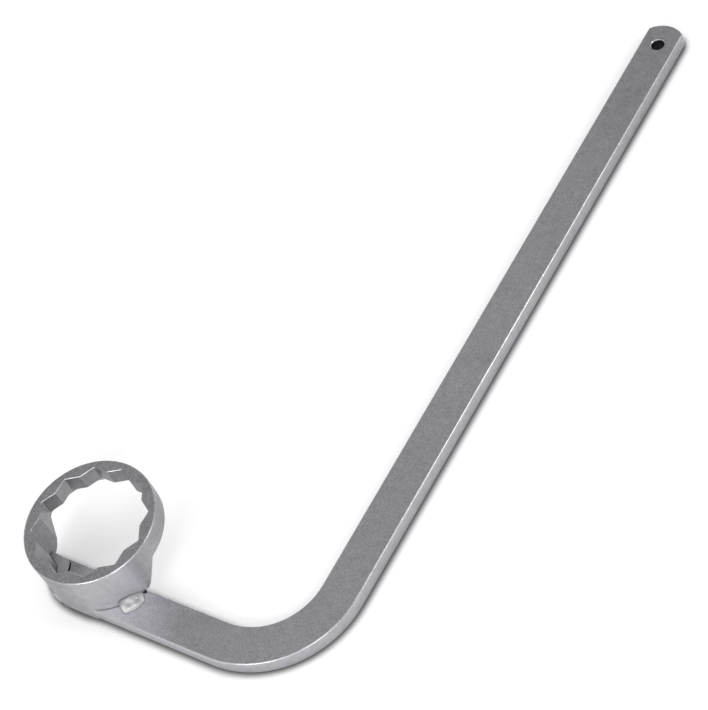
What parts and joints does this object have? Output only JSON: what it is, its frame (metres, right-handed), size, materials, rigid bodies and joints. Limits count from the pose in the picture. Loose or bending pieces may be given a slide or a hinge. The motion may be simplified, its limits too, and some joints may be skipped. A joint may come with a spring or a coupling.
{
  "type": "oil filter cap wrench",
  "caption": "Ring wrench for oil filter caps: a twelve-point ring held above the short leg of a bent flat bar, with a hanging hole in the long leg's end.",
  "frame": {"origin": "on the axis of the ring's twelve-point opening, in the plane of the face the wrench lies on", "axes": "+Z along the ring's axis, from the bar towards the ring's mouth; +X along the short leg from the ring to the bend; +Y along the long leg from the bend to the free end"},
  "size_m": [0.2131, 0.525, 0.0438],
  "materials": {
    "satin_steel": "matt blasted and plated",
    "weld_steel": "plated weld bead, smoother and brighter than the rest"
  },
  "bodies": {
    "root": {"handle_bar": "satin_steel", "socket_ring": "satin_steel", "outer_weld": "weld_steel", "inner_weld": "weld_steel"}
  },
  "joints": []
}
